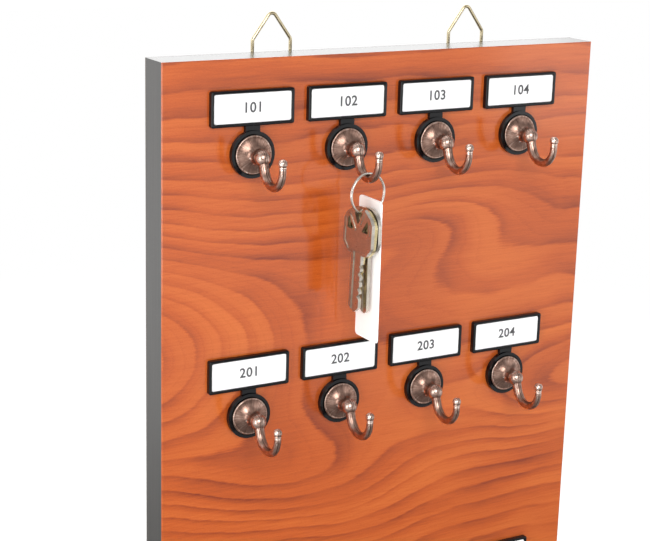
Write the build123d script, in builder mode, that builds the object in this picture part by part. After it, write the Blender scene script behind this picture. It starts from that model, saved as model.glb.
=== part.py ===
"""Wall key board: a laminated panel with labelled hooks, two wire hangers and one key set.

Millimetres. The origin is the centre of the board's bottom edge, +Z is up and the front faces -Y.
"""

from build123d import *
import math
import os

os.makedirs("parts", exist_ok=True)

# ---------------------------------------------------------------- board layout
COLUMNS = 4
ROWS = 3
COLUMN_PITCH = 54.0
ROW_PITCH = 137.0
SIDE_MARGIN = 25.0
TOP_MARGIN = 15.0

# ---------------------------------------------------------------- board build-up
CORE_DEPTH = 18.0
FRONT_LAMINATE = 0.8
BACK_LAMINATE = 0.7
EDGE_BAND = 1.0
LAMINATE_CHAMFER = 0.35

# ---------------------------------------------------------------- label holder
LABEL_WIDTH = 46.0
LABEL_HEIGHT = 18.0
LABEL_DEPTH = 3.0
LABEL_CORNER = 1.2
LABEL_ROUND = 0.9  # outer front edge of the frame
RECESS_ROUND = 0.4  # front edge of the card recess
CARD_WIDTH = 43.0
CARD_HEIGHT = 15.0
CARD_THICKNESS = 0.4
CARD_RECESS = 1.3
CARD_PLAY = 0.2
CARD_CORNER = 1.0
HOOK_DROP = 32.3  # from the frame's top edge down to the hook axis
NECK_WIDTH = 8.0
NECK_DEPTH = 2.2
NECK_OVERLAP = 1.0  # how far the neck runs in under the frame
BASE_RADIUS = 12.0
BASE_FLOOR = 1.2
LIP_DEPTH = 3.0
LIP_INNER = 10.4
LIP_ROUND = 0.75

# ---------------------------------------------------------------- hook
DISC_RADIUS = 9.9
DISC_RIM = 4.0  # how far the disc's rim stands in front of the board
DISC_PROFILE = (  # distance from the axis and rise above the rim, from the rim's edge inwards
    (9.9, -0.5),
    (9.45, 0.0),
    (8.9, -0.15),
    (6.3, 0.85),
    (4.2, 2.3),
)
HOOK_NECK_RADIUS = 3.1
HOOK_NECK_OUT = 9.2
BALL_RADIUS = 4.15
BALL_OUT = 12.7
ARM_CENTRE_OUT = 24.2
ARM_CENTRE_RISE = -2.8
ARM_BEND = 9.6
ARM_START_ANGLE = 200.0
ARM_LEAD = 4.5  # straight length between the ball and the bend
ARM_RADII = (2.6, 2.5, 2.35, 2.15, 2.0, 1.85, 1.75)
TIP_RISE = 1.0
TIP_RADIUS = 2.25
TIP_COLLAR_RADIUS = 1.85
TIP_COLLAR_HEIGHT = 0.5
TIP_COLLAR_RISE = 0.45  # collar middle above the underside of the tip ball
TIP_WAIST_RADIUS = 1.45
TIP_WAIST_OVERLAP = 0.1  # how far the waist runs into the arm and the ball
ARM_STOP = 2.3  # the arm ends this far under the tip ball's centre

# ---------------------------------------------------------------- fasteners
SCREW_RADIUS = 2.0
SCREW_LENGTH = 22.0
SCREW_HEAD_RADIUS = 3.8
SCREW_HEAD_HEIGHT = 2.4
SCREW_HEAD_ROUND = 1.0
SCREW_HOLE_RADIUS = 2.2
HOOK_HOLE_RADIUS = 2.05
HOOK_HOLE_OUT = 7.0
WASHER_RADIUS = 4.5
WASHER_THICKNESS = 0.8
WASHER_PLAY = 0.15
COUNTERBORE_RADIUS = 5.5
COUNTERBORE_DEPTH = 4.0
DRIVE_LENGTH = 4.2
DRIVE_WIDTH = 0.9
DRIVE_DEPTH = 1.3

# ---------------------------------------------------------------- hangers
HANGER_SPACING = 118.2
HANGER_HALF_WIDTH = 10.8
HANGER_RISE = 21.7  # apex of the wire above the board's top edge
HANGER_DROP = 13.0  # hinge line below the board's top edge
HANGER_LEG = 6.0  # how far the upright legs reach above the top edge
HANGER_APEX_RADIUS = 2.5
WIRE_RADIUS = 0.9
STRAP_WIDTH = 10.0
STRAP_LENGTH = 26.0
STRAP_THICKNESS = 0.8
STRAP_BORE = 0.98
STRAP_GAP = 0.4
STRAP_SCREW_DROP = 16.0
STRAP_SCREW_RADIUS = 1.6
STRAP_SCREW_HEAD_RADIUS = 3.4
STRAP_SCREW_HEAD_HEIGHT = 1.9
STRAP_SCREW_HEAD_ROUND = 1.2
STRAP_DRIVE_DEPTH = 1.0
STRAP_HOLE_PLAY = 0.3
STRAP_SCREW_LENGTH = 14.0
STRAP_SCREW_PLAY = 0.05
BUMPER_RADIUS = 6.0
BUMPER_INSET = 14.0
BUMPER_TAPER = 8.0
BUMPER_ROUND = 0.6

# ---------------------------------------------------------------- key set
KEY_SET_COLUMN = 2
KEY_SET_YAW = 7.5
RING_OUTER = 11.0
RING_TURN_RADIUS = 0.5
RING_TURN_OFFSET = 0.32
RING_PLAY = 0.12
RING_SLIT = 0.35
SLIT_ANGLES = {1: 35, -1: 325}  # where each side's turn ends, round the ring
KEY_THICKNESS = 2.0
KEY_PLACES = (-4.6, -2.4, 0.4)  # front, middle and rear key along the ring's wire
KEY_LEANS = (2.5, 6.0, 0.0)  # degrees that each key's tip hangs towards the board
KEY_HOLE_DROP = 2.0  # hole middle below the wire
KEY_TIP = -49.8  # blade tip below the hole middle
HEAD_BOTTOM = -19.2
SHIELD_HALF = ((0.0, 5.6), (4.6, 4.6), (9.4, 1.0), (11.3, -2.2), (11.3, -14.4), (7.6, HEAD_BOTTOM))
SHIELD_ROUND = 1.9
ROUND_HEAD_WIDTH = 20.4
ROUND_HEAD_TOP = 5.4
ROUND_HEAD_CORNER = 8.8
HOUSE_BLADE = 7.8
SMALL_BLADE = 5.0
BLADE_OVERLAP = 1.0  # how far the blade runs up into the head
TIP_FLAT = 2.0
SHIELD_HOLE = ((-3.4, 3.2), (3.4, 3.2), (0.0, -4.4))
SHIELD_HOLE_ROUND = 0.9
ROUND_HOLE_RADIUS = 3.2
WINDOW = ((7.7, 0.0), (8.2, -7.0), (3.0, -6.9))
WINDOW_ROUND = 0.4
KEY_RIM = 1.3
KEY_PANEL_DEPTH = 0.35
KEY_GROOVE_SHARE = 0.26  # groove width and its shift from the middle, as shares of the blade
KEY_GROOVE_SHIFT = 0.15
KEY_GROOVE_DEPTH = 0.55
BITTING_PITCH = 4.0
BITTING_SHOULDER = 7.0
TAG_PLACE = 3.8
TAG_WIDTH = 21.3
TAG_LENGTH = 74.4
TAG_THICKNESS = 0.9
TAG_CORNER = 2.0
TAG_HOLE_RADIUS = 3.0
TAG_HOLE_DROP = 1.5
TAG_TOP = 8.2
TAG_SHIFT = 2.4  # the tag's middle lies this much nearer the board than its hole

# ---------------------------------------------------------------- worked out from the above
BOARD_WIDTH = 2 * SIDE_MARGIN + (COLUMNS - 1) * COLUMN_PITCH + LABEL_WIDTH
BOARD_HEIGHT = TOP_MARGIN + ROWS * ROW_PITCH
BOARD_DEPTH = FRONT_LAMINATE + CORE_DEPTH + BACK_LAMINATE
FRONT_Y = -BOARD_DEPTH / 2
BACK_Y = BOARD_DEPTH / 2
CORE_FRONT_Y = FRONT_Y + FRONT_LAMINATE
CORE_BACK_Y = BACK_Y - BACK_LAMINATE
CARD_RISE = HOOK_DROP - LABEL_HEIGHT / 2
COUNTERBORE_FLOOR_Y = BACK_Y - COUNTERBORE_DEPTH
STRAP_OUTER = STRAP_BORE + STRAP_THICKNESS
HANGER_Y = BACK_Y + STRAP_OUTER
HANGER_Z = BOARD_HEIGHT - HANGER_DROP
RING_MEAN = RING_OUTER - RING_TURN_RADIUS
SADDLE_RADIUS = ARM_RADII[3]
OUTWARD = (0, -1, 0)
BACKWARD = (0, 1, 0)


def hook_place(row, column):
    """X and Z of a hook's axis, counting rows from the top and columns from the left, from 1."""
    x = -BOARD_WIDTH / 2 + SIDE_MARGIN + LABEL_WIDTH / 2 + (column - 1) * COLUMN_PITCH
    z = BOARD_HEIGHT - TOP_MARGIN - HOOK_DROP - (row - 1) * ROW_PITCH
    return x, z


POSITIONS = [(row, column) for row in range(1, ROWS + 1) for column in range(1, COLUMNS + 1)]
HOOK_PLACES = [hook_place(row, column) for row, column in POSITIONS]
HANGER_PLACES = {"left": -HANGER_SPACING / 2, "right": HANGER_SPACING / 2}


def facing(x, z, y=FRONT_Y):
    """Plane that faces out of the board's front, with its origin at (x, y, z)."""
    return Plane(origin=(x, y, z), x_dir=(1, 0, 0), z_dir=OUTWARD)


def behind(x, z, y=BACK_Y):
    """Plane that faces out of the board's back, with its origin at (x, y, z)."""
    return Plane(origin=(x, y, z), x_dir=(-1, 0, 0), z_dir=BACKWARD)


def side_on(x, z, y=FRONT_Y):
    """Plane for side profiles: its own X runs out of the front and its own Y runs up."""
    return Plane(origin=(x, y, z), x_dir=OUTWARD, z_dir=(-1, 0, 0))


def save(part, name):
    """Labels a finished piece and writes it as parts/NAME.step."""
    part.label = name
    export_step(part, f"parts/{name}.step")


# ================================================================ board
def make_board_core():
    """Core panel with a stepped hole behind each hook and a pilot hole under each strap screw."""
    with BuildPart() as core:
        with BuildSketch(facing(0, BOARD_HEIGHT / 2, CORE_FRONT_Y)):
            Rectangle(BOARD_WIDTH - 2 * EDGE_BAND, BOARD_HEIGHT - 2 * EDGE_BAND)
        extrude(amount=-CORE_DEPTH)
        with BuildSketch(facing(0, 0, CORE_FRONT_Y)):
            with Locations(*HOOK_PLACES):
                Circle(SCREW_HOLE_RADIUS)
        extrude(amount=-CORE_DEPTH, mode=Mode.SUBTRACT)
        with BuildSketch(facing(0, 0, COUNTERBORE_FLOOR_Y)):
            with Locations(*HOOK_PLACES):
                Circle(COUNTERBORE_RADIUS)
        extrude(amount=-COUNTERBORE_DEPTH, mode=Mode.SUBTRACT)
        with BuildSketch(facing(0, 0, CORE_BACK_Y)):
            with Locations(*[(x, HANGER_Z - STRAP_SCREW_DROP) for x in HANGER_PLACES.values()]):
                Circle(STRAP_SCREW_RADIUS + STRAP_SCREW_PLAY)
        extrude(amount=STRAP_SCREW_LENGTH, mode=Mode.SUBTRACT)
    save(core.part, "board_core")


def make_front_laminate():
    """Decor sheet over the core and the edge bands, with a small chamfer round its face."""
    with BuildPart() as laminate:
        with BuildSketch(facing(0, BOARD_HEIGHT / 2, CORE_FRONT_Y)):
            Rectangle(BOARD_WIDTH, BOARD_HEIGHT)
        extrude(amount=FRONT_LAMINATE)
        chamfer(laminate.faces().sort_by(Axis.Y)[0].edges(), LAMINATE_CHAMFER)
        with BuildSketch(facing(0, 0, CORE_FRONT_Y)):
            with Locations(*HOOK_PLACES):
                Circle(SCREW_HOLE_RADIUS)
        extrude(amount=FRONT_LAMINATE, mode=Mode.SUBTRACT)
    save(laminate.part, "front_laminate")


def make_back_laminate():
    """Balancing sheet on the back, open at the counterbores and the strap screws."""
    with BuildPart() as laminate:
        with BuildSketch(behind(0, BOARD_HEIGHT / 2, CORE_BACK_Y)):
            Rectangle(BOARD_WIDTH, BOARD_HEIGHT)
        extrude(amount=BACK_LAMINATE)
        with BuildSketch(facing(0, 0, BACK_Y)):
            with Locations(*HOOK_PLACES):
                Circle(COUNTERBORE_RADIUS)
            with Locations(*[(x, HANGER_Z - STRAP_SCREW_DROP) for x in HANGER_PLACES.values()]):
                Circle(STRAP_SCREW_RADIUS + STRAP_SCREW_PLAY)
        extrude(amount=BACK_LAMINATE, mode=Mode.SUBTRACT)
    save(laminate.part, "back_laminate")


def make_edge_band(name, x, z, width, height):
    """One strip of edging, as deep as the core, centred at (x, z)."""
    with BuildPart() as band:
        with BuildSketch(facing(x, z, CORE_FRONT_Y)):
            Rectangle(width, height)
        extrude(amount=-CORE_DEPTH)
    save(band.part, name)


def make_edge_bands():
    """Top and bottom strips run the full width, and the side strips stand between them."""
    middle = BOARD_HEIGHT / 2
    side_x = (BOARD_WIDTH - EDGE_BAND) / 2
    side_height = BOARD_HEIGHT - 2 * EDGE_BAND
    make_edge_band("edge_band_top", 0, BOARD_HEIGHT - EDGE_BAND / 2, BOARD_WIDTH, EDGE_BAND)
    make_edge_band("edge_band_bottom", 0, EDGE_BAND / 2, BOARD_WIDTH, EDGE_BAND)
    make_edge_band("edge_band_left", -side_x, middle, EDGE_BAND, side_height)
    make_edge_band("edge_band_right", side_x, middle, EDGE_BAND, side_height)


# ================================================================ label holders and cards
def make_label_holder(name, x, z):
    """Card frame, neck and ring base in one moulding, round the hook axis at (x, z)."""
    card_z = z + CARD_RISE
    frame_bottom = CARD_RISE - LABEL_HEIGHT / 2
    neck_height = frame_bottom + NECK_OVERLAP
    with BuildPart() as holder:
        with BuildSketch(facing(x, card_z)):
            RectangleRounded(LABEL_WIDTH, LABEL_HEIGHT, LABEL_CORNER)
        extrude(amount=LABEL_DEPTH)
        fillet(holder.faces().sort_by(Axis.Y)[0].edges(), LABEL_ROUND)
        with BuildSketch(facing(x, card_z, FRONT_Y - LABEL_DEPTH)):
            RectangleRounded(CARD_WIDTH, CARD_HEIGHT, CARD_CORNER)
        extrude(amount=-CARD_RECESS, mode=Mode.SUBTRACT)
        fillet(holder.faces().sort_by(Axis.Y)[0].inner_wires()[0].edges(), RECESS_ROUND)
        with BuildSketch(facing(x, z + neck_height / 2)):
            Rectangle(NECK_WIDTH, neck_height)
        extrude(amount=NECK_DEPTH)
        with BuildSketch(Plane(origin=(x, FRONT_Y, z), x_dir=(1, 0, 0), z_dir=(0, 0, -1))):
            with BuildLine():
                Polyline(
                    (LIP_INNER, 0),
                    (BASE_RADIUS, 0),
                    (BASE_RADIUS, LIP_DEPTH),
                    (LIP_INNER, LIP_DEPTH),
                    close=True,
                )
            lip = make_face()
            fillet(lip.vertices().group_by(Axis.Y)[0], LIP_ROUND)
        revolve(axis=Axis((x, FRONT_Y, z), OUTWARD))
        with BuildSketch(facing(x, z)):
            Circle(LIP_INNER)
        extrude(amount=LIP_DEPTH, mode=Mode.SUBTRACT)
        with BuildSketch(facing(x, z)):
            Circle(LIP_INNER)
            Circle(SCREW_HOLE_RADIUS, mode=Mode.SUBTRACT)
        extrude(amount=BASE_FLOOR)
    save(holder.part, name)


def make_label_card(name, x, z):
    """Paper card that lies on the floor of the frame's recess, with the given hook axis below it."""
    floor_y = FRONT_Y - (LABEL_DEPTH - CARD_RECESS)
    with BuildPart() as card:
        with BuildSketch(facing(x, z + CARD_RISE, floor_y)):
            RectangleRounded(CARD_WIDTH - 2 * CARD_PLAY, CARD_HEIGHT - 2 * CARD_PLAY, CARD_CORNER)
        extrude(amount=CARD_THICKNESS)
    save(card.part, name)


# ================================================================ hooks
def make_hook(name, x, z):
    """Cast hook on the axis (x, z): a dished disc, neck and ball, with a J arm and a tip ball."""
    bend_angle = math.radians(ARM_START_ANGLE)
    bend_start = (
        ARM_CENTRE_OUT + ARM_BEND * math.cos(bend_angle),
        ARM_CENTRE_RISE + ARM_BEND * math.sin(bend_angle),
    )
    arm_start = (
        bend_start[0] + ARM_LEAD * math.sin(bend_angle),
        bend_start[1] - ARM_LEAD * math.cos(bend_angle),
    )
    tip_out = ARM_CENTRE_OUT + ARM_BEND
    neck_join = BALL_OUT - math.sqrt(BALL_RADIUS**2 - HOOK_NECK_RADIUS**2)
    neck_start = (HOOK_NECK_RADIUS, HOOK_NECK_OUT)
    profile = [(radius, DISC_RIM + rise) for radius, rise in DISC_PROFILE]
    with BuildPart() as hook:
        with BuildSketch(Plane(origin=(x, FRONT_Y, z), x_dir=(1, 0, 0), z_dir=(0, 0, -1))):
            with BuildLine():
                Polyline((0, neck_join), (0, BASE_FLOOR), (DISC_RADIUS, BASE_FLOOR), profile[0])
                ThreePointArc(*profile[:3])
                Spline(*profile[2:], neck_start, tangents=[(-1, 0.25), (-0.1, 1)])
                Polyline(neck_start, (HOOK_NECK_RADIUS, neck_join), (0, neck_join))
            make_face()
        revolve(axis=Axis((x, FRONT_Y, z), OUTWARD))
        with Locations((x, FRONT_Y - BALL_OUT, z)):
            Sphere(BALL_RADIUS)
        with BuildLine(side_on(x, z)) as arm:
            Line(arm_start, bend_start)
            CenterArc((ARM_CENTRE_OUT, ARM_CENTRE_RISE), ARM_BEND, ARM_START_ANGLE, 360 - ARM_START_ANGLE)
            Line((tip_out, ARM_CENTRE_RISE), (tip_out, TIP_RISE - ARM_STOP))
        for station, radius in enumerate(ARM_RADII):
            along = station / (len(ARM_RADII) - 1)
            here = arm.line @ along
            heading = arm.line % along
            with BuildSketch(Plane(origin=here, x_dir=(1, 0, 0), z_dir=heading)):
                Circle(radius)
        loft()
        tip_y = FRONT_Y - tip_out
        with Locations((x, tip_y, z + TIP_RISE)):
            Sphere(TIP_RADIUS)
        with Locations((x, tip_y, z + TIP_RISE - ARM_STOP / 2 - TIP_WAIST_OVERLAP)):
            Cylinder(TIP_WAIST_RADIUS, ARM_STOP + 2 * TIP_WAIST_OVERLAP)
        with Locations((x, tip_y, z + TIP_RISE - TIP_RADIUS + TIP_COLLAR_RISE)):
            Cylinder(TIP_COLLAR_RADIUS, TIP_COLLAR_HEIGHT)
        with BuildSketch(facing(x, z, FRONT_Y - BASE_FLOOR)):
            Circle(HOOK_HOLE_RADIUS)
        extrude(amount=HOOK_HOLE_OUT - BASE_FLOOR, mode=Mode.SUBTRACT)
    save(hook.part, name)


# ================================================================ screws and washers
def rear_faces(part, count):
    """The rearmost flat faces, one for each of `count` screw heads."""
    return part.faces().sort_by(Axis.Y).filter_by(Plane.XZ)[-count:]


def make_hook_screws():
    """Pan-head machine screws with cross recesses, one behind each hook."""
    seat_y = COUNTERBORE_FLOOR_Y + WASHER_THICKNESS
    with BuildPart() as screws:
        with BuildSketch(facing(0, 0, seat_y)):
            with Locations(*HOOK_PLACES):
                Circle(SCREW_RADIUS)
        extrude(amount=SCREW_LENGTH)
        with BuildSketch(facing(0, 0, seat_y)):
            with Locations(*HOOK_PLACES):
                Circle(SCREW_HEAD_RADIUS)
        extrude(amount=-SCREW_HEAD_HEIGHT)
        fillet(rear_faces(screws, len(HOOK_PLACES)).edges(), SCREW_HEAD_ROUND)
        with BuildSketch(facing(0, 0, seat_y + SCREW_HEAD_HEIGHT)):
            with Locations(*HOOK_PLACES):
                Rectangle(DRIVE_LENGTH, DRIVE_WIDTH)
                Rectangle(DRIVE_WIDTH, DRIVE_LENGTH)
        extrude(amount=DRIVE_DEPTH, mode=Mode.SUBTRACT)
    save(screws.part, "hook_screws")


def make_hook_washers():
    """Flat washers on the counterbore floors."""
    with BuildPart() as washers:
        with BuildSketch(behind(0, 0, COUNTERBORE_FLOOR_Y)):
            with Locations(*[(-x, z) for x, z in HOOK_PLACES]):
                Circle(WASHER_RADIUS)
                Circle(SCREW_RADIUS + WASHER_PLAY, mode=Mode.SUBTRACT)
        extrude(amount=WASHER_THICKNESS)
    save(washers.part, "hook_washers")


# ================================================================ hanging hardware
def make_hanger_ring(name, x):
    """Closed wire triangle whose straight base turns in the strap's knuckle."""
    apex = HANGER_DROP + HANGER_RISE - WIRE_RADIUS
    shoulder = HANGER_DROP + HANGER_LEG
    corners = [
        (-HANGER_HALF_WIDTH, 0),
        (-HANGER_HALF_WIDTH, shoulder),
        (0, apex),
        (HANGER_HALF_WIDTH, shoulder),
        (HANGER_HALF_WIDTH, 0),
    ]
    with BuildPart() as ring:
        with BuildLine(facing(x, HANGER_Z, HANGER_Y)) as wire:
            FilletPolyline(*corners, radius=HANGER_APEX_RADIUS, close=True)
        with BuildSketch(Plane(origin=wire.line @ 0, z_dir=wire.line % 0)):
            Circle(WIRE_RADIUS)
        sweep(path=wire.line)
    save(ring.part, name)


def make_hanger_strap(name, x):
    """Brass strap rolled round the wire, with a round end and a screw hole."""
    with BuildPart() as strap:
        with BuildSketch(side_on(x, HANGER_Z, HANGER_Y)):
            Circle(STRAP_OUTER)
            with Locations((STRAP_OUTER - STRAP_THICKNESS / 2, -STRAP_OUTER)):
                Rectangle(STRAP_THICKNESS, 2 * STRAP_OUTER)
            Circle(STRAP_BORE, mode=Mode.SUBTRACT)
            with Locations((-STRAP_BORE, -STRAP_OUTER / 2)):
                Rectangle(STRAP_OUTER, STRAP_GAP, mode=Mode.SUBTRACT)
        extrude(amount=STRAP_WIDTH / 2, both=True)
        with BuildSketch(behind(x, HANGER_Z - STRAP_OUTER)):
            with Locations((0, -(STRAP_LENGTH - STRAP_WIDTH / 2) / 2)):
                Rectangle(STRAP_WIDTH, STRAP_LENGTH - STRAP_WIDTH / 2)
            with Locations((0, -(STRAP_LENGTH - STRAP_WIDTH / 2))):
                Circle(STRAP_WIDTH / 2)
            with Locations((0, -(STRAP_SCREW_DROP - STRAP_OUTER))):
                Circle(STRAP_SCREW_RADIUS + STRAP_HOLE_PLAY, mode=Mode.SUBTRACT)
        extrude(amount=STRAP_THICKNESS)
    save(strap.part, name)


def make_strap_screws():
    """Round-head wood screws through the straps into the core."""
    screw_z = HANGER_Z - STRAP_SCREW_DROP
    places = [(x, screw_z) for x in HANGER_PLACES.values()]
    seat_y = BACK_Y + STRAP_THICKNESS
    with BuildPart() as screws:
        with BuildSketch(facing(0, 0, seat_y)):
            with Locations(*places):
                Circle(STRAP_SCREW_RADIUS)
        extrude(amount=STRAP_SCREW_LENGTH)
        with BuildSketch(facing(0, 0, seat_y)):
            with Locations(*places):
                Circle(STRAP_SCREW_HEAD_RADIUS)
        extrude(amount=-STRAP_SCREW_HEAD_HEIGHT)
        fillet(rear_faces(screws, len(places)).edges(), STRAP_SCREW_HEAD_ROUND)
        with BuildSketch(facing(0, 0, seat_y + STRAP_SCREW_HEAD_HEIGHT)):
            with Locations(*places):
                Rectangle(DRIVE_LENGTH, DRIVE_WIDTH)
                Rectangle(DRIVE_WIDTH, DRIVE_LENGTH)
        extrude(amount=STRAP_DRIVE_DEPTH, mode=Mode.SUBTRACT)
    save(screws.part, "strap_screws")


def make_wall_bumpers():
    """Pads at the back's bottom corners, as tall as the strap knuckles."""
    corner_x = BOARD_WIDTH / 2 - BUMPER_INSET
    with BuildPart() as bumpers:
        with BuildSketch(behind(0, BUMPER_INSET)):
            with Locations((-corner_x, 0), (corner_x, 0)):
                Circle(BUMPER_RADIUS)
        extrude(amount=2 * STRAP_OUTER, taper=BUMPER_TAPER)
        fillet(bumpers.faces().sort_by(Axis.Y)[-2:].edges(), BUMPER_ROUND)
    save(bumpers.part, "wall_bumpers")


# ================================================================ key set
SET_X, SET_Z = hook_place(1, KEY_SET_COLUMN)
SADDLE_Y = FRONT_Y - ARM_CENTRE_OUT
SADDLE_Z = SET_Z + ARM_CENTRE_RISE - ARM_BEND
RING_Z = SADDLE_Z + SADDLE_RADIUS + RING_PLAY - (RING_OUTER - 2 * RING_TURN_RADIUS)
YAW = math.radians(KEY_SET_YAW)
ALONG_WIRE = (math.cos(YAW), math.sin(YAW), 0)
TO_FRONT = (math.sin(YAW), -math.cos(YAW), 0)


def wire_point(place):
    """Point on the ring's lower wire, `place` mm along the ring's width from its middle."""
    drop = math.sqrt(RING_MEAN**2 - place**2)
    return (SET_X + place * ALONG_WIRE[0], SADDLE_Y + place * ALONG_WIRE[1], RING_Z - drop)


def make_split_ring():
    """Key ring of two wire turns side by side, each slit where its end lies."""
    with BuildPart() as ring:
        with BuildSketch(Plane(origin=(SET_X, SADDLE_Y, RING_Z), x_dir=ALONG_WIRE, z_dir=(0, 0, 1))):
            with Locations((RING_MEAN, -RING_TURN_OFFSET), (RING_MEAN, RING_TURN_OFFSET)):
                Circle(RING_TURN_RADIUS)
        revolve(axis=Axis((SET_X, SADDLE_Y, RING_Z), TO_FRONT))
        for side, angle in SLIT_ANGLES.items():
            turn = math.radians(angle)
            outward = Vector(*ALONG_WIRE) * math.cos(turn) + Vector(0, 0, 1) * math.sin(turn)
            centre = Vector(SET_X, SADDLE_Y, RING_Z) + outward * RING_MEAN
            with BuildSketch(Plane(origin=centre, x_dir=outward, z_dir=TO_FRONT)):
                Rectangle(4 * RING_TURN_RADIUS, RING_SLIT)
            extrude(amount=side * 2 * RING_TURN_RADIUS, mode=Mode.SUBTRACT)
    save(ring.part, "split_ring")


def key_plane(place, lean):
    """Middle plane of a key on the wire, through its hole: X runs to the front and Y runs up."""
    tilt = math.radians(lean)
    to_front, up = Vector(*TO_FRONT), Vector(0, 0, 1)
    key_front = to_front * math.cos(tilt) - up * math.sin(tilt)
    key_up = up * math.cos(tilt) + to_front * math.sin(tilt)
    hole = Vector(*wire_point(place)) - key_up * KEY_HOLE_DROP
    return Plane(origin=hole, x_dir=key_front, z_dir=(-ALONG_WIRE[0], -ALONG_WIRE[1], 0))


def mirrored(points):
    """The points reflected to the other side of the key's middle line, in reverse order."""
    return [(-x, y) for x, y in reversed(points)]


def shield_head():
    """Outline of a straight-sided key head with a low peak, round the hole middle."""
    with BuildSketch(mode=Mode.PRIVATE) as head:
        with BuildLine():
            Polyline(*SHIELD_HALF, *mirrored(SHIELD_HALF[1:]), close=True)
        make_face()
        fillet(head.vertices(), SHIELD_ROUND)
    return head.sketch


def round_head():
    """Outline of a round key head with flattened sides, round the hole middle."""
    length = ROUND_HEAD_TOP - HEAD_BOTTOM
    with BuildSketch(mode=Mode.PRIVATE) as head:
        with Locations((0, ROUND_HEAD_TOP - length / 2)):
            RectangleRounded(ROUND_HEAD_WIDTH, length, ROUND_HEAD_CORNER)
    return head.sketch


def shield_hole():
    """Three-sided opening with round corners, its point down."""
    with BuildSketch(mode=Mode.PRIVATE) as hole:
        with BuildLine():
            Polyline(*SHIELD_HOLE, close=True)
        make_face()
        fillet(hole.vertices(), SHIELD_HOLE_ROUND)
    return hole.sketch


def round_hole():
    """Plain round opening."""
    with BuildSketch(mode=Mode.PRIVATE) as hole:
        Circle(ROUND_HOLE_RADIUS)
    return hole.sketch


def head_windows():
    """Pair of three-sided windows, one on each side of the head's hole."""
    with BuildSketch(mode=Mode.PRIVATE) as windows:
        for corners in (WINDOW, mirrored(WINDOW)):
            with BuildLine():
                Polyline(*corners, close=True)
            make_face()
        fillet(windows.vertices(), WINDOW_ROUND)
    return windows.sketch


def blade_outline(width, bitting, cut_side):
    """Blade from under the head to the tip, with V cuts of the given depths along one edge."""
    top = HEAD_BOTTOM + BLADE_OVERLAP
    shoulder = top - BITTING_SHOULDER
    with BuildSketch(mode=Mode.PRIVATE) as blade:
        with BuildLine():
            Polyline(
                (-width / 2, top),
                (width / 2, top),
                (width / 2, KEY_TIP + width / 3),
                (TIP_FLAT / 2, KEY_TIP),
                (-TIP_FLAT / 2, KEY_TIP),
                (-width / 2, KEY_TIP + width / 3),
                close=True,
            )
        make_face()
        for cut, depth in enumerate(bitting):
            with Locations((cut_side * width / 2, shoulder - cut * BITTING_PITCH)):
                RegularPolygon(depth, 4, mode=Mode.SUBTRACT)
    return blade.sketch


def make_key(name, plane, head, opening, blade, blade_width):
    """Key on a plane: rimmed head round an opening, and a blade with a groove in each face."""
    half = KEY_THICKNESS / 2
    groove_length = HEAD_BOTTOM + BLADE_OVERLAP - KEY_TIP
    with BuildPart() as key:
        with BuildSketch(plane):
            add(head)
            add(blade)
            add(opening, mode=Mode.SUBTRACT)
        extrude(amount=half, both=True)
        for side in (-1, 1):
            with BuildSketch(plane.offset(side * half)):
                add(head)
                offset(amount=-KEY_RIM, mode=Mode.REPLACE)
                add(offset(opening, amount=KEY_RIM, mode=Mode.PRIVATE), mode=Mode.SUBTRACT)
            extrude(amount=-side * KEY_PANEL_DEPTH, mode=Mode.SUBTRACT)
            with BuildSketch(plane.offset(side * half)):
                with Locations((-KEY_GROOVE_SHIFT * blade_width, KEY_TIP + groove_length / 2)):
                    Rectangle(KEY_GROOVE_SHARE * blade_width, groove_length)
            extrude(amount=-side * KEY_GROOVE_DEPTH, mode=Mode.SUBTRACT)
    save(key.part, name)


def make_keys():
    """Three keys side by side on the wire, from the left: two house keys and a smaller one."""
    front, middle, rear = [key_plane(place, lean) for place, lean in zip(KEY_PLACES, KEY_LEANS)]
    front_blade = blade_outline(HOUSE_BLADE, (0.9, 1.5, 0.8, 1.3, 1.6), 1)
    middle_blade = blade_outline(HOUSE_BLADE, (1.4, 1.0, 1.7, 0.8, 1.2), 1)
    rear_blade = blade_outline(SMALL_BLADE, (0.7, 0.9, 0.6, 0.8), -1)
    windowed = shield_hole() + head_windows()
    make_key("key_front", front, shield_head(), windowed, front_blade, HOUSE_BLADE)
    make_key("key_middle", middle, shield_head(), round_hole(), middle_blade, HOUSE_BLADE)
    make_key("key_rear", rear, round_head(), round_hole(), rear_blade, SMALL_BLADE)


def make_key_tag():
    """Blank plastic tag that hangs square to the board, its hole near the top."""
    x, y, z = wire_point(TAG_PLACE)
    hole = Plane(origin=(x, y, z - TAG_HOLE_DROP), x_dir=OUTWARD, z_dir=(-1, 0, 0))
    with BuildPart() as tag:
        with BuildSketch(hole):
            with Locations((-TAG_SHIFT, TAG_TOP - TAG_LENGTH / 2)):
                RectangleRounded(TAG_WIDTH, TAG_LENGTH, TAG_CORNER)
            Circle(TAG_HOLE_RADIUS, mode=Mode.SUBTRACT)
        extrude(amount=TAG_THICKNESS / 2, both=True)
    save(tag.part, "key_tag")


# ================================================================ the whole organiser
make_board_core()
make_front_laminate()
make_back_laminate()
make_edge_bands()
for (row, column), (hook_x, hook_z) in zip(POSITIONS, HOOK_PLACES):
    make_label_holder(f"label_holder_r{row}c{column}", hook_x, hook_z)
    make_label_card(f"label_card_r{row}c{column}", hook_x, hook_z)
    make_hook(f"hook_r{row}c{column}", hook_x, hook_z)
make_hook_screws()
make_hook_washers()
for side, hanger_x in HANGER_PLACES.items():
    make_hanger_ring(f"hanger_ring_{side}", hanger_x)
    make_hanger_strap(f"hanger_strap_{side}", hanger_x)
make_strap_screws()
make_wall_bumpers()
make_split_ring()
make_keys()
make_key_tag()
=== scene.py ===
import math

import bpy
from mathutils import Matrix, Vector


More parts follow.
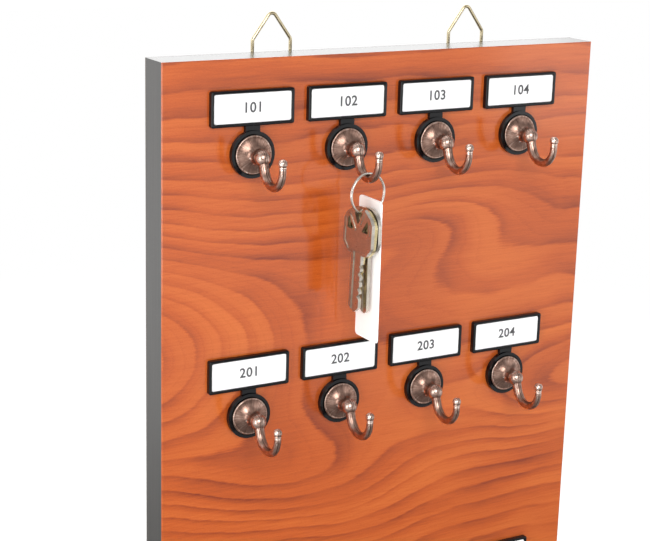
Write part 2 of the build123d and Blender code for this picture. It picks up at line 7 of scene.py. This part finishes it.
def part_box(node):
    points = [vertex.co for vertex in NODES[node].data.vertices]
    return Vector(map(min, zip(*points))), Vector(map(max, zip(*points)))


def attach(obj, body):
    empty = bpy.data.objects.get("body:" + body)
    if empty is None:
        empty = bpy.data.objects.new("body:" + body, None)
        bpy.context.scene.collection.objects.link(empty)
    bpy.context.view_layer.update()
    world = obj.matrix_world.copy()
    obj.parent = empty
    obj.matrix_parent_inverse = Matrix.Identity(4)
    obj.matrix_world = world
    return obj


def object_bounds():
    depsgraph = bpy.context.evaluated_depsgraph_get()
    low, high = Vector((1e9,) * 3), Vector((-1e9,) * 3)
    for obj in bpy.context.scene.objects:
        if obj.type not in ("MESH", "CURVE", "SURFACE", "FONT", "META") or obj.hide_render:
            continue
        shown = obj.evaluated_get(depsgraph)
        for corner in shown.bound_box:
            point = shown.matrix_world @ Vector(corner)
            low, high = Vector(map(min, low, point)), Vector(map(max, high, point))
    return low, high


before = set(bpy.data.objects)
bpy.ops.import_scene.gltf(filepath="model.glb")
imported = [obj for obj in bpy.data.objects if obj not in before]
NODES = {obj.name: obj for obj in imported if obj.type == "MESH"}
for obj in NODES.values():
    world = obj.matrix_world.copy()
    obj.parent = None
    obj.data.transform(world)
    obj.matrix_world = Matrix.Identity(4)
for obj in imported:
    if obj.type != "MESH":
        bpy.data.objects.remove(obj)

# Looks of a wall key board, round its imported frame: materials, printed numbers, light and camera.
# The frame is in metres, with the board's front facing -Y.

CAD_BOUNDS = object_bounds()
ROWS, COLUMNS = 3, 4
PLACES = [(row, column) for row in range(1, ROWS + 1) for column in range(1, COLUMNS + 1)]
MM = 0.001
WHITE = (1.0, 1.0, 1.0)
BLACK = (0.0, 0.0, 0.0)
MIX_FACTOR, MIX_FIRST, MIX_SECOND, MIXED = 0, 6, 7, 2  # sockets of a Mix node that mixes colours


# ================================================================ shader helper
class Shader:
    """Builds the node tree of a material or of the world; sockets are passed about as values."""

    def __init__(self, name, world=None):
        self.owner = world or bpy.data.materials.new(name)
        self.owner.use_nodes = True
        self.tree = self.owner.node_tree
        self.surface = self.tree.nodes["Background" if world else "Principled BSDF"]
        self.coordinates = self.tree.nodes.new("ShaderNodeTexCoord").outputs
        self.position = self.coordinates["Object"]

    def feed(self, socket, value):
        if isinstance(value, bpy.types.NodeSocket):
            self.tree.links.new(value, socket)
        elif isinstance(value, tuple) and len(value) == 3 and socket.type == "RGBA":
            socket.default_value = (*value, 1.0)
        else:
            socket.default_value = value

    def node(self, kind, inputs, **settings):
        made = self.tree.nodes.new(kind)
        for name, value in settings.items():
            setattr(made, name, value)
        for name, value in inputs.items():
            self.feed(made.inputs[name], value)
        return made

    def math(self, operation, *values, clamp=False):
        inputs = dict(enumerate(values))
        return self.node("ShaderNodeMath", inputs, operation=operation, use_clamp=clamp).outputs[0]

    def add(self, first, second):
        return self.math("ADD", first, second)

    def take(self, first, second, clamp=False):
        """The first value less the second."""
        return self.math("SUBTRACT", first, second, clamp=clamp)

    def times(self, first, second):
        return self.math("MULTIPLY", first, second)

    def power(self, value, exponent):
        return self.math("POWER", value, exponent)

    def blend(self, first, first_share, second):
        """A weighted mean of two values."""
        return self.add(self.times(first, first_share), self.times(second, 1.0 - first_share))

    def swing(self, noise, amount):
        """A noise's swing about its middle value, times an amount."""
        return self.times(self.take(noise, 0.5), amount)

    def place(self, vector, location=(0, 0, 0), turn=(0, 0, 0), scale=(1, 1, 1), kind="POINT"):
        inputs = {"Vector": vector, "Location": location, "Rotation": turn, "Scale": scale}
        return self.node("ShaderNodeMapping", inputs, vector_type=kind).outputs[0]

    def noise(self, vector, scale=1.0, detail=2.0, roughness=0.5):
        inputs = {"Vector": vector, "Scale": scale, "Detail": detail, "Roughness": roughness}
        return self.node("ShaderNodeTexNoise", inputs).outputs["Fac"]

    def stretched(self, vector, stretch, detail=2.0, roughness=0.5):
        """Noise with its own scale along each axis."""
        return self.noise(self.place(vector, scale=stretch), 1.0, detail, roughness)

    def remap(self, value, low, high, to_low=0.0, to_high=1.0, smooth=False):
        inputs = {"Value": value, "From Min": low, "From Max": high, "To Min": to_low, "To Max": to_high}
        kind = "SMOOTHSTEP" if smooth else "LINEAR"
        return self.node("ShaderNodeMapRange", inputs, interpolation_type=kind).outputs[0]

    def mix(self, factor, first, second):
        made = self.node("ShaderNodeMix", {}, data_type="RGBA")
        self.feed(made.inputs[MIX_FACTOR], factor)
        self.feed(made.inputs[MIX_FIRST], first)
        self.feed(made.inputs[MIX_SECOND], second)
        return made.outputs[MIXED]

    def ramp(self, factor, *stops):
        """Colour between stops, each a place from 0 to 1 and the colour there."""
        made = self.node("ShaderNodeValToRGB", {"Fac": factor})
        elements = made.color_ramp.elements
        while len(elements) < len(stops):
            elements.new(0.5)
        for element, (at, colour) in zip(elements, stops):
            element.position = at
            element.color = (*colour, 1.0)
        return made.outputs["Color"]

    def split(self, vector):
        return self.node("ShaderNodeSeparateXYZ", {"Vector": vector}).outputs

    def join(self, x=0.0, y=0.0):
        return self.node("ShaderNodeCombineXYZ", {"X": x, "Y": y}).outputs[0]

    def bump(self, height, strength, distance):
        inputs = {"Height": height, "Strength": strength, "Distance": distance}
        self.feed(self.surface.inputs["Normal"], self.node("ShaderNodeBump", inputs).outputs[0])

    def finish(self, **inputs):
        """Sets the surface's inputs, with underscores for the spaces in their names."""
        for name, value in inputs.items():
            self.feed(self.surface.inputs[name.replace("_", " ")], value)
        return self.owner


# ================================================================ cherry laminate
# All lengths of the grain are in mm.
# Lobes of the grain figure: centre, half lengths, height, turn (degrees).
GRAIN_LOBES = (
    ((-160, 285), (95, 62), 95, 0),
    ((20, 332), (75, 26), 34, 10),
    ((-45, 196), (70, 30), 44, -14),
    ((170, 232), (150, 30), 60, 4),
    ((-120, 70), (80, 36), 50, 8),
    ((90, 60), (70, 30), 36, -10),
)
GRAIN_AXIS_HEIGHT = 262
GRAIN_AXIS_WIDTH = 45
GRAIN_PITCH = 13.0  # between growth lines
GRAIN_WANDER = 26.0
GRAIN_RIPPLE = 2.2
GRAIN_FRAY = 0.22  # raggedness of the lines, as a share of their pitch
LATE_WOOD_SHARPNESS = 2.6
LATE_WOOD_END = 0.90  # where the dark part of a growth ring breaks off
FINE_LINES = 3.0  # per growth ring
FINE_LINE_SHARPNESS = 7.0
BAND_ACROSS, BAND_ALONG = 0.45, 0.006  # scales of the slow change from ring to ring, and along them

# Shares of each feature in the tone, which runs from dark late wood at 0 to pale early wood at 1.
EARLY_TONE = (0.42, 0.82)
FIBRE_TONE = 0.50
SPECKLE_TONE = 0.45
LINE_TONE = 0.62
FINE_LINE_TONE = 0.10
PORE_TONE = 0.12
LATE_WOOD = (0.235, 0.038, 0.011)
MIDDLE_WOOD = (0.490, 0.092, 0.015)
EARLY_WOOD = (0.67, 0.166, 0.030)


def grain_field(s, flat, z):
    """Growth-ring field of the printed figure: a long ridge with a few lobes, gently warped."""
    wander = s.swing(s.noise(flat, scale=0.012, roughness=0.4), GRAIN_WANDER)
    ripple = s.swing(s.noise(flat, scale=0.06, detail=3.0), GRAIN_RIPPLE)
    off_axis = s.take(z, GRAIN_AXIS_HEIGHT)
    ridge = s.math("SQRT", s.add(s.power(off_axis, 2.0), GRAIN_AXIS_WIDTH**2))
    field = s.times(ridge, -1.0)
    for (across, up), (length, width), height, turn in GRAIN_LOBES:
        local = s.place(flat, (across, up, 0), (0, 0, math.radians(turn)), (length, width, 1), "TEXTURE")
        square = s.node("ShaderNodeVectorMath", {0: local, 1: local}, operation="DOT_PRODUCT")
        falloff = s.math("EXPONENT", s.times(square.outputs["Value"], -1.0))
        field = s.add(field, s.times(falloff, height))
    return s.add(s.add(field, wander), ripple)


def growth_lines(s, flat, rings):
    """Dark lines that end sharply on one side, stronger in some places than in others."""
    phase = s.math("FRACT", rings)
    late_wood = s.power(phase, LATE_WOOD_SHARPNESS)
    sharp_side = s.remap(phase, LATE_WOOD_END, 1.0, to_low=1.0, to_high=0.0, smooth=True)
    strength = s.remap(s.noise(flat, scale=0.017), 0.36, 0.64, to_low=0.35, smooth=True)
    return s.times(s.times(late_wood, sharp_side), strength)


def cherry_laminate():
    """Printed cherry figure: growth lines as contours of a warped ridge, under a mirror-gloss sheet."""
    s = Shader("cherry_laminate")
    x, _, z = s.split(s.place(s.position, scale=(1 / MM, 1 / MM, 1 / MM)))
    flat = s.join(x, z)
    fray = s.stretched(flat, (0.05, 1.1, 1), detail=3.0, roughness=0.6)
    rings = s.math("DIVIDE", grain_field(s, flat, z), GRAIN_PITCH)
    rings = s.add(rings, s.swing(fray, GRAIN_FRAY))
    line = growth_lines(s, flat, rings)
    fine_line = s.power(s.math("FRACT", s.times(rings, FINE_LINES)), FINE_LINE_SHARPNESS)
    band = s.noise(s.join(s.times(rings, BAND_ACROSS), s.times(x, BAND_ALONG)))
    fibre = s.stretched(flat, (0.03, 0.8, 1), detail=5.0, roughness=0.65)
    pores = s.remap(s.stretched(flat, (0.14, 2.0, 1), roughness=0.6), 0.58, 0.72)
    speckle = s.noise(flat, scale=1.5, detail=3.0, roughness=0.7)
    tone = s.remap(band, 0.3, 0.7, *EARLY_TONE)
    tone = s.add(tone, s.swing(fibre, FIBRE_TONE))
    tone = s.add(tone, s.swing(speckle, SPECKLE_TONE))
    for mark, share in ((line, LINE_TONE), (fine_line, FINE_LINE_TONE), (pores, PORE_TONE)):
        tone = s.take(tone, s.times(mark, share))
    colour = s.ramp(tone, (0.0, LATE_WOOD), (0.5, MIDDLE_WOOD), (1.0, EARLY_WOOD))
    s.finish(Base_Color=colour, Roughness=0.5, Specular_IOR_Level=0.0)
    return s.finish(Coat_Weight=1.0, Coat_Roughness=0.11)


# ================================================================ antique copper
SEAM_HALF = 0.55  # mm from the hook's middle plane to each of the two grooves beside its seam
SEAM_SOFT = 0.22  # mm
SEAM_START = 11.5 * MM  # in front of the hook's back, where the grooves fade in
SEAM_FADE = 1.0 * MM
SPOKES = 14.0  # brush marks per radian round the hook's disc
RINGS = 160.0  # brush marks per metre out from its centre
RUBBED_WEAR = 0.40
PATCH_WEAR = 0.30
COPPER_WEAR = 0.13
SCRATCH_WEAR = 0.6
GROOVE_WEAR = 0.45
BLACKENED = (0.050, 0.025, 0.018)
COPPER_BROWN = (0.40, 0.245, 0.190)
COPPER_PINK = (0.98, 0.80, 0.70)


def antique_copper():
    """Copper plate, blackened in the hollows, rubbed pink on the high parts, with the mould's seam."""
    s = Shader("antique_copper")
    (first_low, first_high), (beside_low, _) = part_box("hook_r1c1"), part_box("hook_r1c2")
    half_across = (beside_low.x - first_low.x) / 2
    half_down = (first_low.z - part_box("hook_r2c1")[0].z) / 2
    disc_radius = (first_high.x - first_low.x) / 2
    seam_start = first_high.y - SEAM_START
    x, y, z = s.split(s.position)
    # The pattern repeats at the pitch of the hooks, with each disc's centre at zero.
    local_x = s.math("WRAP", s.take(x, first_low.x + disc_radius), half_across, -half_across)
    local_z = s.math("WRAP", s.take(z, first_high.z - disc_radius), half_down, -half_down)
    angle = s.math("ARCTAN2", local_z, local_x)
    radius = s.math("SQRT", s.add(s.power(local_x, 2.0), s.power(local_z, 2.0)))
    off_seam = s.times(s.math("ABSOLUTE", local_x), 1 / MM)
    off_groove = s.math("ABSOLUTE", s.take(off_seam, SEAM_HALF))
    grooves = s.remap(off_groove, 0.0, SEAM_SOFT, to_low=1.0, to_high=0.0, smooth=True)
    on_arm = s.remap(y, seam_start - SEAM_FADE, seam_start, to_low=1.0, to_high=0.0, smooth=True)
    grooves = s.times(grooves, on_arm)
    patches = s.noise(s.position, scale=330.0, detail=4.0, roughness=0.6)
    brushed = s.join(s.times(angle, SPOKES), s.times(radius, RINGS))
    scratches = s.noise(brushed, detail=4.0, roughness=0.7)
    raised = s.node("ShaderNodeNewGeometry", {}).outputs["Pointiness"]
    rubbed = s.remap(raised, 0.49, 0.56, smooth=True)
    wear = s.math("MULTIPLY_ADD", patches, PATCH_WEAR, COPPER_WEAR)
    wear = s.math("MULTIPLY_ADD", rubbed, RUBBED_WEAR, wear)
    wear = s.add(wear, s.swing(scratches, SCRATCH_WEAR))
    wear = s.take(wear, s.times(grooves, GROOVE_WEAR), clamp=True)
    colour = s.ramp(wear, (0.10, BLACKENED), (0.34, COPPER_BROWN), (0.58, COPPER_PINK))
    s.bump(s.take(s.times(scratches, 0.5), grooves), strength=0.3, distance=0.2 * MM)
    rough = s.remap(wear, 0.0, 1.0, to_low=0.36, to_high=0.17)
    return s.finish(Base_Color=colour, Metallic=1.0, Roughness=rough)


# ================================================================ plain materials
BANDING_DARK, BANDING_PALE = (0.026, 0.024, 0.021), (0.052, 0.049, 0.045)
FIBREBOARD_DARK, FIBREBOARD_PALE = (0.28, 0.18, 0.10), (0.55, 0.41, 0.26)
BACKING_DARK, BACKING_PALE = (0.080, 0.060, 0.048), (0.115, 0.088, 0.070)
GLOSS_BLACK, DUST = (0.003, 0.003, 0.004), (0.04, 0.04, 0.04)
PAPER_GREY = (0.96, 0.96, 0.96)
INK_DARK, INK_PALE = (0.055, 0.055, 0.060), (0.12, 0.12, 0.125)
RUBBER_DARK, RUBBER_PALE = (0.016, 0.016, 0.016), (0.035, 0.034, 0.033)
# The tag's glow colour is a painted glow: emission that brightens the tag, though it is no lamp.
TAG_DARK, TAG_PALE, TAG_PAINTED_GLOW = (0.96, 0.96, 0.94), (1.0, 1.0, 0.985), (1.0, 1.0, 0.97)


def edge_banding():
    """Dark grey edging with fine streaks along its length."""
    s = Shader("edge_banding")
    streaks = s.stretched(s.position, (900, 900, 14), detail=3.0, roughness=0.6)
    grey = s.blend(streaks, 0.7, s.noise(s.position, scale=900.0))
    s.bump(streaks, strength=0.12, distance=0.1 * MM)
    colour = s.ramp(grey, (0.3, BANDING_DARK), (0.7, BANDING_PALE))
    return s.finish(Base_Color=colour, Roughness=0.30, Specular_IOR_Level=0.6)


def fibreboard():
    """Pressed wood fibre, seen only inside the screw recesses."""
    s = Shader("fibreboard")
    fibres = s.stretched(s.position, (900, 400, 900), detail=4.0, roughness=0.7)
    s.bump(fibres, strength=0.4, distance=0.3 * MM)
    colour = s.ramp(fibres, (0.25, FIBREBOARD_DARK), (0.75, FIBREBOARD_PALE))
    return s.finish(Base_Color=colour, Roughness=0.9)


def backing_sheet():
    """Plain dark brown balancing sheet with a light pebble texture."""
    s = Shader("backing_sheet")
    cloud = s.noise(s.position, scale=14.0, detail=3.0)
    s.bump(s.noise(s.position, scale=1300.0), strength=0.35, distance=0.2 * MM)
    colour = s.ramp(cloud, (0.3, BACKING_DARK), (0.7, BACKING_PALE))
    return s.finish(Base_Color=colour, Roughness=0.55, Specular_IOR_Level=0.4)


def gloss_black():
    """Polished black moulding with faint dust and flow ripple."""
    s = Shader("gloss_black")
    dust = s.remap(s.noise(s.position, scale=2600.0), 0.66, 0.8)
    ripple = s.noise(s.position, scale=90.0, detail=3.0)
    s.bump(ripple, strength=0.05, distance=0.3 * MM)
    colour = s.mix(s.times(dust, 0.2), GLOSS_BLACK, DUST)
    rough = s.remap(ripple, 0.3, 0.7, to_low=0.08, to_high=0.16)
    return s.finish(Base_Color=colour, Roughness=rough, Specular_IOR_Level=0.32)


def card_paper():
    """Bright white card with a faint fibre tooth."""
    s = Shader("card_paper")
    tooth = s.noise(s.position, scale=2200.0, detail=3.0)
    s.bump(tooth, strength=0.15, distance=0.1 * MM)
    colour = s.ramp(tooth, (0.3, PAPER_GREY), (0.7, WHITE))
    return s.finish(Base_Color=colour, Roughness=0.75, Specular_IOR_Level=0.3)


def printed_ink():
    """Dark grey toner that lets a little paper through."""
    s = Shader("printed_ink")
    colour = s.ramp(s.noise(s.position, scale=4200.0), (0.35, INK_DARK), (0.75, INK_PALE))
    return s.finish(Base_Color=colour, Roughness=0.6)


def plated_metal(name, dark, bright, smoothest, roughest):
    """Worn plating: brushed one way, with darker tarnish in patches."""
    s = Shader(name)
    tarnish = s.noise(s.position, scale=180.0, detail=4.0, roughness=0.6)
    brushing = s.stretched(s.position, (500, 500, 2200), detail=3.0, roughness=0.7)
    worn = s.blend(tarnish, 0.6, brushing)
    s.bump(brushing, strength=0.08, distance=0.1 * MM)
    colour = s.ramp(worn, (0.3, dark), (0.68, bright))
    rough = s.remap(worn, 0.3, 0.7, to_low=roughest, to_high=smoothest)
    return s.finish(Base_Color=colour, Metallic=1.0, Roughness=rough)


def bumper_rubber():
    """Matt black rubber."""
    s = Shader("bumper_rubber")
    skin = s.noise(s.position, scale=1500.0)
    s.bump(skin, strength=0.3, distance=0.1 * MM)
    colour = s.ramp(skin, (0.3, RUBBER_DARK), (0.7, RUBBER_PALE))
    return s.finish(Base_Color=colour, Roughness=0.8)


def tag_plastic():
    """Satin white plastic, with a faint painted glow that stands in for the light that it lets through.
    """
    s = Shader("tag_plastic")
    s.bump(s.noise(s.position, scale=1800.0), strength=0.05, distance=0.1 * MM)
    colour = s.ramp(s.noise(s.position, scale=60.0, detail=3.0), (0.3, TAG_DARK), (0.7, TAG_PALE))
    # Painted glow: a faint emission that brightens the tag, though it is no lamp.
    return s.finish(Base_Color=colour, Roughness=0.38, Emission_Color=TAG_PAINTED_GLOW, Emission_Strength=0.12)


STEEL = plated_metal("zinc_plate", (0.42, 0.42, 0.40), (0.72, 0.71, 0.68), 0.2, 0.38)
BRASS = plated_metal("brass_plate", (0.42, 0.34, 0.20), (0.80, 0.70, 0.48), 0.16, 0.3)
RING_NICKEL = plated_metal("ring_nickel", (0.56, 0.53, 0.48), (0.70, 0.67, 0.61), 0.20, 0.28)
KEY_NICKEL = plated_metal("key_nickel", (0.40, 0.36, 0.31), (0.66, 0.61, 0.54), 0.22, 0.4)
KEY_BRASS = plated_metal("key_brass", (0.48, 0.38, 0.18), (0.82, 0.70, 0.42), 0.2, 0.36)

# Material of every node whose name starts so; the first match counts.
NODE_MATERIALS = {
    "front_laminate": cherry_laminate(),
    "board_core": fibreboard(),
    "back_laminate": backing_sheet(),
    "edge_band": edge_banding(),
    "label_holder": gloss_black(),
    "label_card": card_paper(),
    "hook_screws": STEEL,
    "hook_washers": STEEL,
    "hook_r": antique_copper(),
    "hanger": BRASS,
    "strap_screws": BRASS,
    "wall_bumpers": bumper_rubber(),
    "split_ring": RING_NICKEL,
    "key_middle": KEY_BRASS,
    "key_tag": tag_plastic(),
    "key": KEY_NICKEL,
}


def dress(piece, material):
    """Gives a piece one material in every slot."""
    piece.data.materials.clear()
    piece.data.materials.append(material)


def dress_nodes():
    """Gives each CAD node its material."""
    for name, node in NODES.items():
        start = next(start for start in NODE_MATERIALS if name.startswith(start))
        dress(node, NODE_MATERIALS[start])


def add_object(name, data):
    """A new object in the scene."""
    made = bpy.data.objects.new(name, data)
    bpy.context.scene.collection.objects.link(made)
    return made


# ================================================================ numbers on the cards
NUMBER_HEIGHT = 5.2 * MM
NUMBER_LIFT = 0.03 * MM
NUMBER_BOLD = 0.16 * MM
NUMBER_SPACING = 1.08  # times the font's own spacing
CAPITAL_SHARE = 0.73  # height of a numeral as a share of the font size
INK = printed_ink()


def add_number(row, column):
    """Prints a plain number on a card as its own thin piece."""
    name = f"r{row}c{column}"
    low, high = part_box(f"label_card_{name}")
    words = bpy.data.curves.new(f"number_{name}", "FONT")
    words.body = f"{row}{column:02d}"
    words.size = NUMBER_HEIGHT / CAPITAL_SHARE
    words.align_x = "CENTER"
    words.align_y = "CENTER"
    words.extrude = NUMBER_LIFT / 2
    words.space_character = NUMBER_SPACING
    words.offset = NUMBER_BOLD
    outline = add_object(f"number_{name}", words)
    bpy.context.view_layer.update()
    mesh = bpy.data.meshes.new_from_object(outline.evaluated_get(bpy.context.evaluated_depsgraph_get()))
    bpy.data.objects.remove(outline)
    middle = (low + high) / 2
    upright = Matrix.Rotation(math.pi / 2, 4, "X")
    mesh.transform(Matrix.Translation((middle.x, low.y - NUMBER_LIFT / 2, middle.z)) @ upright)
    piece = add_object(f"card_number_{name}", mesh)
    dress(piece, INK)
    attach(piece, f"card_{name}")


# ================================================================ camera
CAMERA_ACROSS = -0.142  # aim point, as shares of the board's width and height from its centre bottom
CAMERA_UP = 0.7366
CAMERA_DISTANCE = 0.8399
CAMERA_YAW = math.radians(30.08)
CAMERA_PITCH = math.radians(15.08)
CAMERA_ROLL = math.radians(1.54)
CAMERA_LENS = 89.6
CAMERA_SENSOR = 36.0
CAMERA_NEAR = 0.01


def add_camera():
    """Long lens from the board's left, a little above its middle."""
    low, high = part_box("front_laminate")
    width, height = high.x - low.x, high.z - low.z
    aim = Vector((CAMERA_ACROSS * width, low.y, low.z + CAMERA_UP * height))
    turn = (
        Matrix.Rotation(-CAMERA_YAW, 4, "Z")
        @ Matrix.Rotation(math.pi / 2 - CAMERA_PITCH, 4, "X")
        @ Matrix.Rotation(CAMERA_ROLL, 4, "Z")
    )
    lens = bpy.data.cameras.new("camera")
    lens.lens = CAMERA_LENS
    lens.sensor_width = CAMERA_SENSOR
    lens.clip_start = CAMERA_NEAR
    camera = add_object("camera", lens)
    camera.matrix_world = Matrix.Translation(aim) @ turn @ Matrix.Translation((0, 0, CAMERA_DISTANCE))
    bpy.context.scene.camera = camera


# ================================================================ studio
# Area lamps that face the board's centre: direction from it, distance, size, power in watts.
LAMPS = {
    "key": ((-0.35, -1.0, 0.6), 1.7, (0.9, 0.8), 14.0),
    "side": ((-1.0, -0.45, 0.1), 1.2, (0.45, 1.1), 6.0),
    "fill": ((1.0, -0.8, 0.3), 1.8, (0.9, 1.2), 4.0),
    "rear": ((0.3, 1.0, 0.6), 1.8, (1.6, 1.0), 9.0),
}
FLOOR_HALF = 4.0
FLOOR_DROP = 0.4 * MM
FLOOR_DARK, FLOOR_PALE = (0.86, 0.86, 0.86), (0.90, 0.90, 0.90)
GLOW_NEAR, GLOW_FAR = 0.3, 1.2  # distances between which the floor's painted glow brightens it to white
# In the board's gloss the floor near it is darker than it is, and the floor far from it brighter.
MIRRORED_SHADE = 0.7
MIRRORED_GLOW = 1.2
SURROUND_GLOW = 0.10
SURROUND_BEHIND = 1.3
SURROUND_ABOVE = 0.4


def add_lamp(name, centre, direction, distance, size, power):
    """Soft lamp at a distance along a direction from the centre, facing it."""
    lamp = bpy.data.lights.new(name, "AREA")
    lamp.shape = "RECTANGLE"
    lamp.size, lamp.size_y = size
    lamp.energy = power
    holder = add_object(name, lamp)
    away = Vector(direction).normalized()
    holder.location = centre + away * distance
    holder.rotation_euler = away.to_track_quat("Z", "Y").to_euler()
    holder.visible_camera = False


def floor_paper():
    """Pale paper with a painted glow that brightens it to white away from the board."""
    s = Shader("floor_paper")
    away = s.node("ShaderNodeVectorMath", {0: s.position}, operation="LENGTH").outputs["Value"]
    path = s.node("ShaderNodeLightPath", {}).outputs
    # Painted glow: emission seen by the camera and in reflections, growing away from the board. Painted
    # shade darkens the paper in reflections only.
    seen = s.math("MAXIMUM", path["Is Camera Ray"], s.times(path["Is Glossy Ray"], MIRRORED_GLOW))
    glow = s.times(s.remap(away, GLOW_NEAR, GLOW_FAR, smooth=True), seen)
    shaded = s.times(path["Is Glossy Ray"], MIRRORED_SHADE)
    darkened = s.math("MAXIMUM", s.math("MINIMUM", glow, 1.0), shaded)
    tone = s.ramp(s.noise(s.position, scale=3.0), (0.3, FLOOR_DARK), (0.7, FLOOR_PALE))
    s.finish(Base_Color=s.mix(darkened, tone, BLACK), Roughness=0.9, Specular_IOR_Level=0.0)
    return s.finish(Emission_Color=WHITE, Emission_Strength=glow)


def add_floor():
    """Square of paper just under the board."""
    z = CAD_BOUNDS[0][2] - FLOOR_DROP
    square = ((-1, -1), (1, -1), (1, 1), (-1, 1))
    mesh = bpy.data.meshes.new("floor")
    mesh.from_pydata([(x * FLOOR_HALF, y * FLOOR_HALF, z) for x, y in square], [], [(0, 1, 2, 3)])
    floor = add_object("floor", mesh)
    dress(floor, floor_paper())


def add_surround():
    """White to the camera; to the metal it is bright behind and above, and dim in front."""
    world = bpy.data.worlds.new("surround")
    bpy.context.scene.world = world
    s = Shader("surround", world)
    _, y, z = s.split(s.coordinates["Generated"])
    behind = s.remap(y, -0.3, 0.6, smooth=True)
    above = s.remap(z, 0.0, 0.9, smooth=True)
    glow = s.math("MULTIPLY_ADD", behind, SURROUND_BEHIND, SURROUND_GLOW)
    glow = s.math("MULTIPLY_ADD", above, SURROUND_ABOVE, glow)
    to_camera = s.node("ShaderNodeLightPath", {}).outputs["Is Camera Ray"]
    s.finish(Color=WHITE, Strength=s.math("MAXIMUM", to_camera, glow))


def add_studio():
    """Soft lamps round the board, a pale floor and a white surround."""
    low, high = CAD_BOUNDS
    centre = (Vector(low) + Vector(high)) / 2
    for name, (direction, distance, size, power) in LAMPS.items():
        add_lamp(name, centre, direction, distance, size, power)
    add_floor()
    add_surround()
    view = bpy.context.scene.view_settings
    view.view_transform = "Standard"
    view.look = "None"


dress_nodes()
for place in PLACES:
    add_number(*place)
add_studio()
add_camera()
